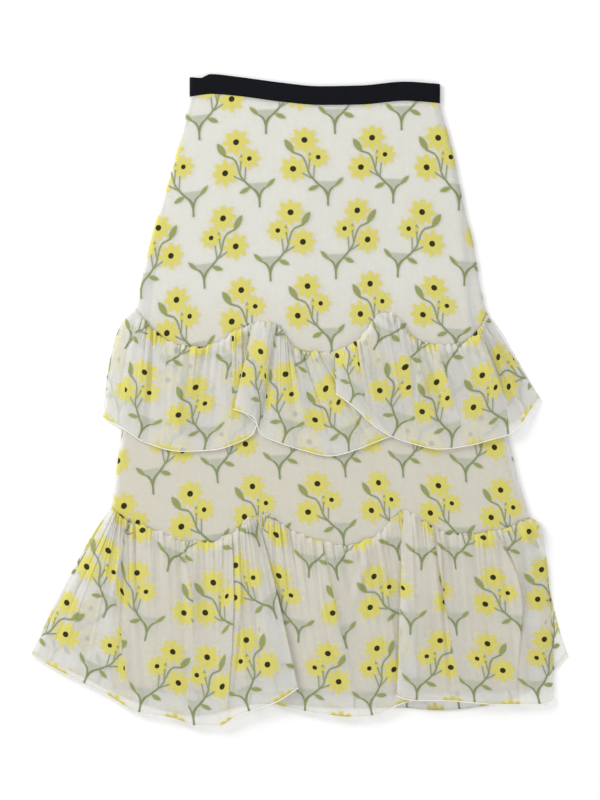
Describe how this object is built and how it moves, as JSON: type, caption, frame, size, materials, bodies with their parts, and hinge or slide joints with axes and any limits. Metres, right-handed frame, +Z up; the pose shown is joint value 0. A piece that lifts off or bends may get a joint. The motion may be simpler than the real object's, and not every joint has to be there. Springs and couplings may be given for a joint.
{
  "type": "midi skirt",
  "caption": "Tiered midi skirt of sheer printed cloth with a ribbon waistband, gathered flounces and a plain lining, laid flat with its front up.",
  "frame": {"origin": "middle of the laid skirt's box, on the surface that it lies on", "axes": "+Z up from the surface, out of the skirt's front; +Y along the skirt towards the waistband; +X across it, towards the right of a viewer who looks at the front"},
  "size_m": [0.7082, 0.86, 0.0171],
  "materials": {
    "navy_ribbon": "matte ribbed ribbon",
    "sheer_printed_cloth": "semi-sheer white cloth with a small daisy print",
    "lining_cloth": "smooth plain lining"
  },
  "bodies": {
    "root": {"waistband_front": "navy_ribbon", "waistband_back": "navy_ribbon", "upper_front": "sheer_printed_cloth", "upper_back": "sheer_printed_cloth", "flounce_upper_front": "sheer_printed_cloth", "flounce_upper_back": "sheer_printed_cloth", "middle_front": "sheer_printed_cloth", "middle_back": "sheer_printed_cloth", "flounce_lower_front": "sheer_printed_cloth", "flounce_lower_back": "sheer_printed_cloth", "lining_front": "lining_cloth", "lining_back": "lining_cloth"}
  },
  "joints": []
}
